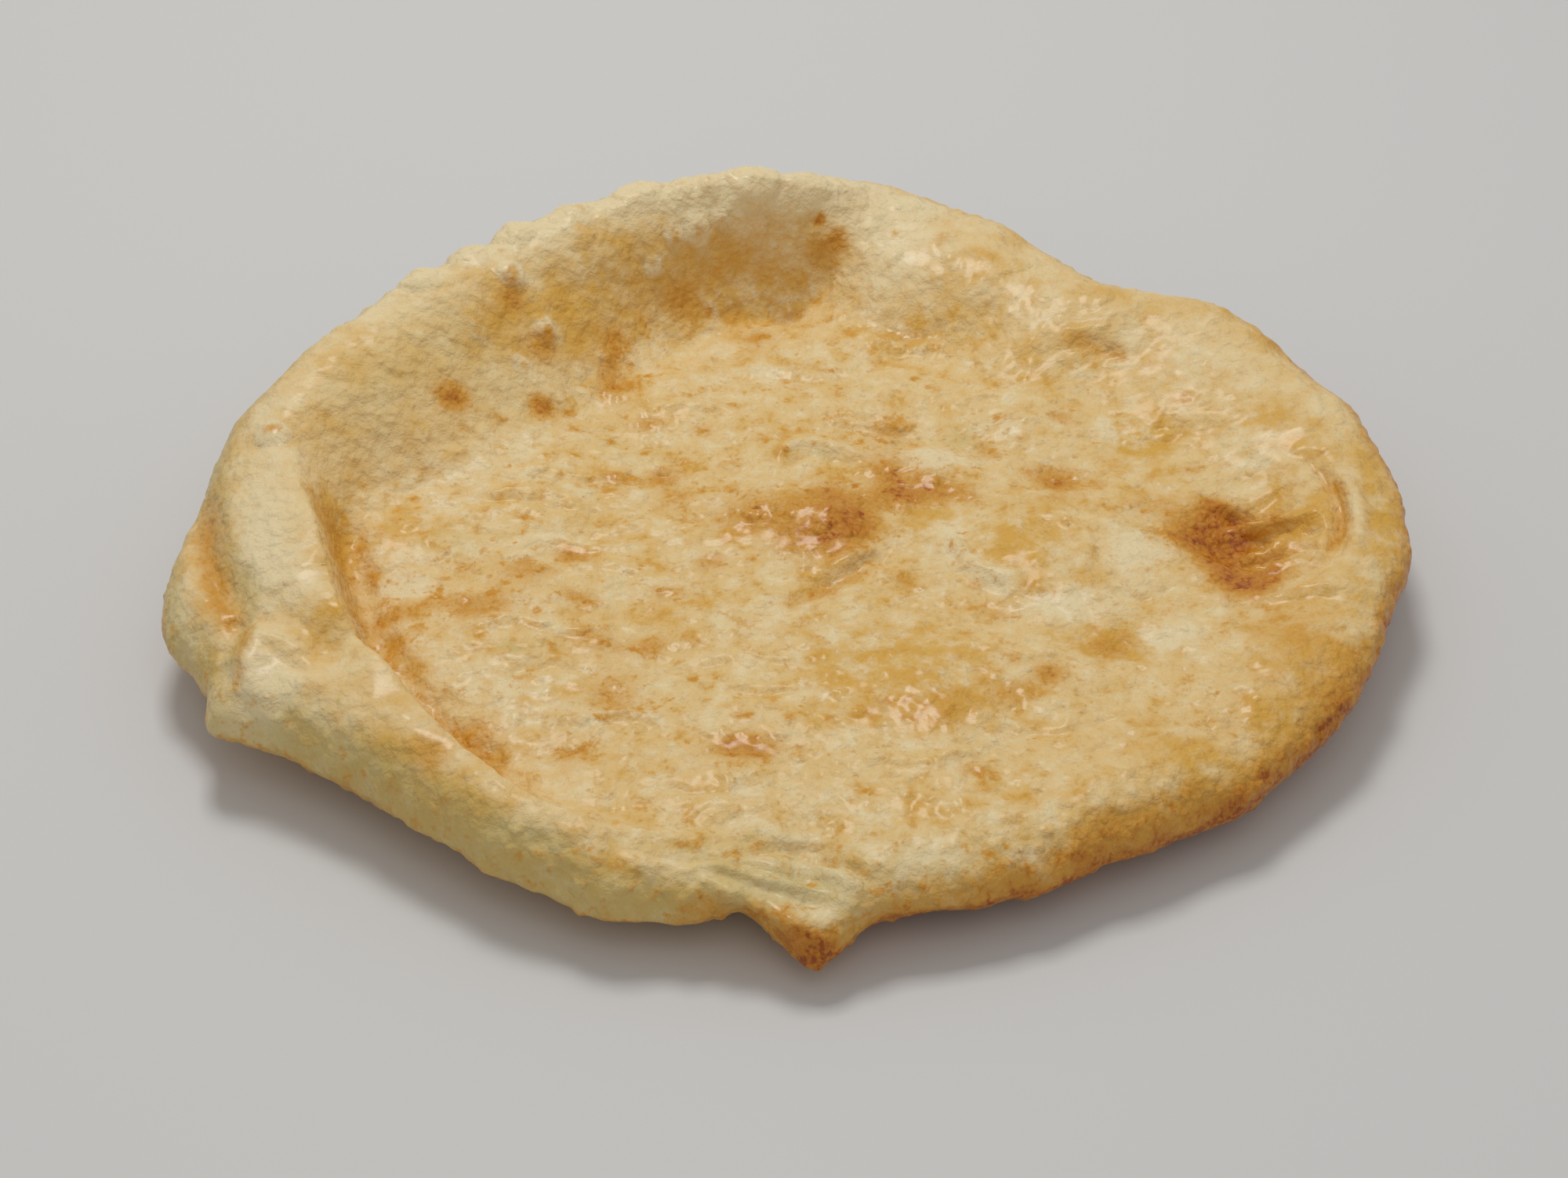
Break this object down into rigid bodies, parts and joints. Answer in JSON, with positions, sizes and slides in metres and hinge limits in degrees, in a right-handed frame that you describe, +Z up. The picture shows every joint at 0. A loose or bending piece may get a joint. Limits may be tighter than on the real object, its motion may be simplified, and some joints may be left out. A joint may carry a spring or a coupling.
{
  "type": "bhatura fried bread",
  "caption": "Large puffed deep-fried wheat bread, an uneven round sheet sagged in the middle, with a curled back rim and a rolled left edge.",
  "frame": {"origin": "middle of the bounding box's lowest face, on the surface that the bread lies on", "axes": "+Z up out of the bread's top; +X along its length, towards the end without the roll; +Y towards the high curled rim"},
  "size_m": [0.2167, 0.1945, 0.0373],
  "materials": {
    "fried_dough": "fried dough, pale gold with brown spots and a thin oily shine"
  },
  "bodies": {
    "root": {"bhatura": "fried_dough"}
  },
  "joints": []
}
